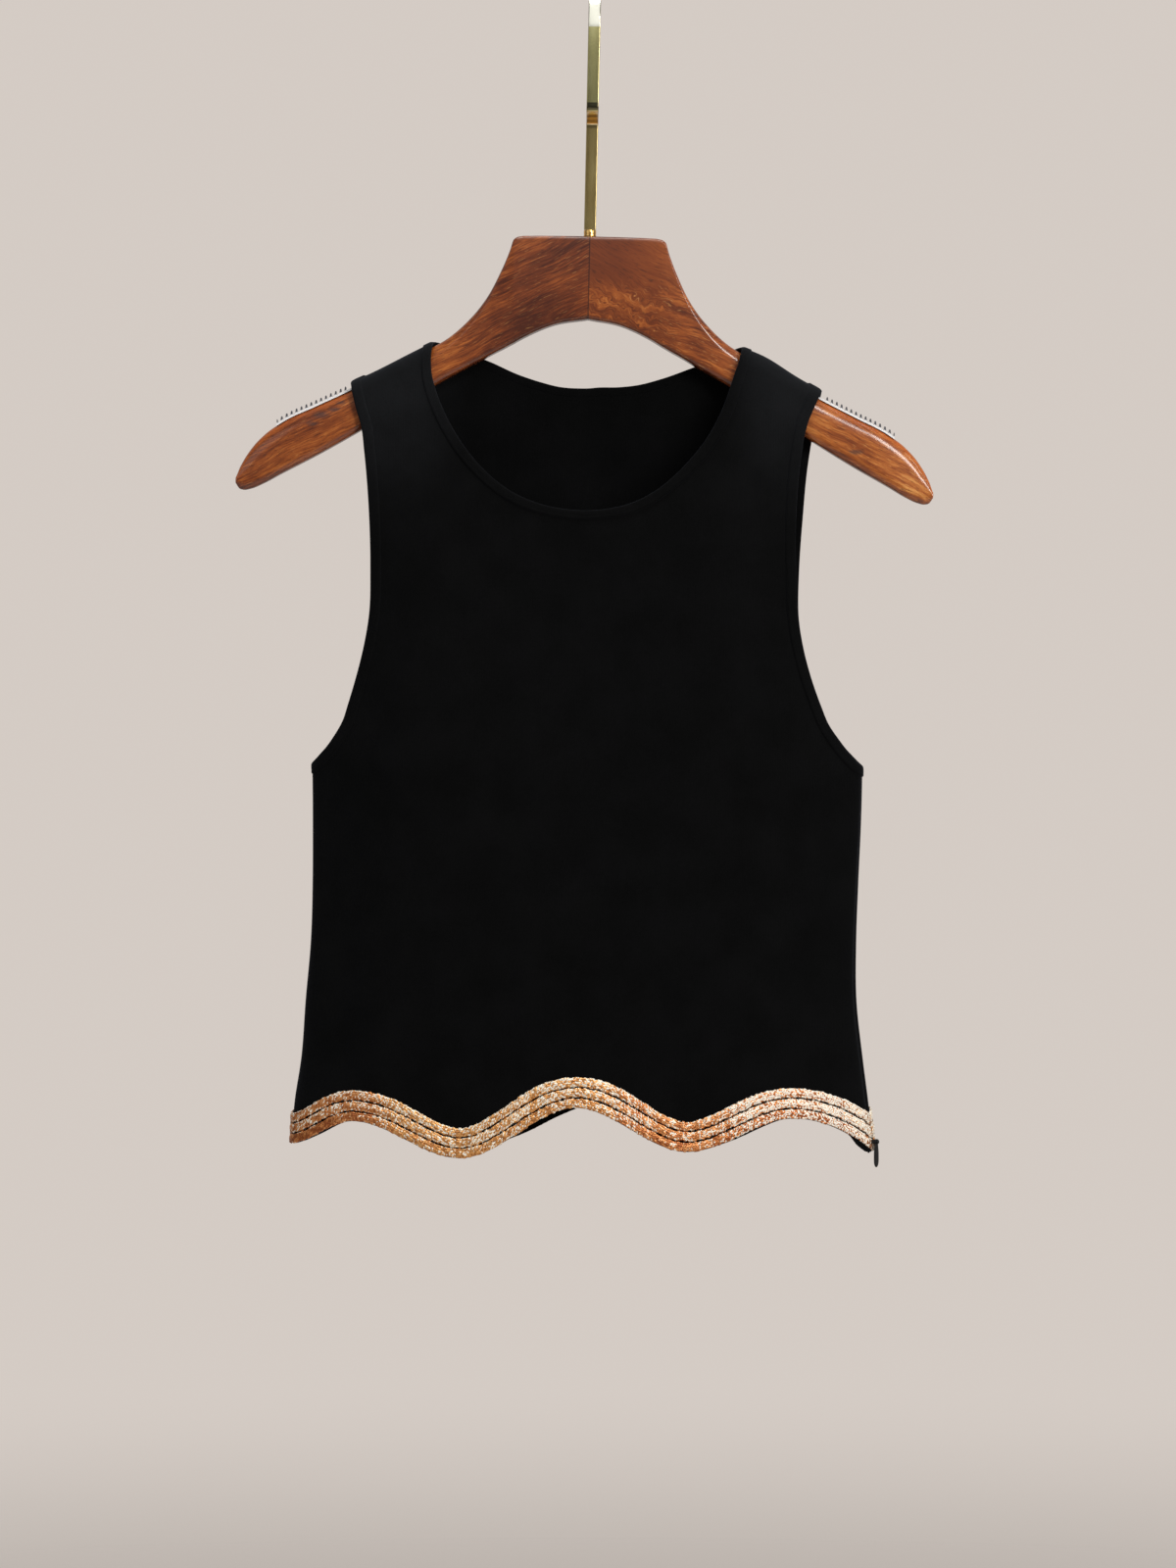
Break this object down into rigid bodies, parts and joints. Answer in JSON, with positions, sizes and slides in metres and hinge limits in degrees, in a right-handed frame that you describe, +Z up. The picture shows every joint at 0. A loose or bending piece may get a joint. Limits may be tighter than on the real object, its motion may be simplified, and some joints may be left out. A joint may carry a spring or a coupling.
{
  "type": "cropped sweater on a hanger",
  "caption": "Cropped sleeveless knit top with a round neck, wavy trimmed hem and side zip, hung on a wooden hanger with a flat metal hook.",
  "frame": {"origin": "top of the hook's inside, on the rail that it would hang from", "axes": "+Z up, -Y is the garment's front, +X is the wearer's left"},
  "size_m": [0.3993, 0.0606, 0.6821],
  "materials": {
    "knit": "fine black knit, matt with a faint bluish sheen",
    "rib": "black rib, slightly smoother",
    "gold_braid": "metallic gold thread, glittering",
    "zip_tape": "black woven tape",
    "zip_black": "black semi-gloss",
    "walnut_lacquer": "red-brown, clear gloss lacquer",
    "brass": "mirror polish",
    "clear_grip": "clear soft plastic, ribbed"
  },
  "bodies": {
    "garment": {"front_panel": "knit", "back_panel": "knit", "neck_band": "rib", "armhole_band_left": "rib", "armhole_band_right": "rib", "front_trim_row_1": "gold_braid", "front_trim_row_2": "gold_braid", "front_trim_row_3": "gold_braid", "back_trim_row_1": "gold_braid", "back_trim_row_2": "gold_braid", "back_trim_row_3": "gold_braid", "zip_tape": "zip_tape", "zip_slider": "zip_black", "hanger_left": "walnut_lacquer", "hanger_right": "walnut_lacquer", "hook_strip": "brass", "hook_collar": "brass", "grip_strip_left": "clear_grip", "grip_strip_right": "clear_grip"},
    "pull": {"zip_pull": "zip_black"}
  },
  "joints": [
    {"name": "pull_swing", "type": "hinge", "parent": "garment", "child": "pull", "pos_m": [0.16154, -0.00661, -0.6645], "axis": [-0.5947, -0.804, 0], "range_deg": [0, 150]}
  ]
}
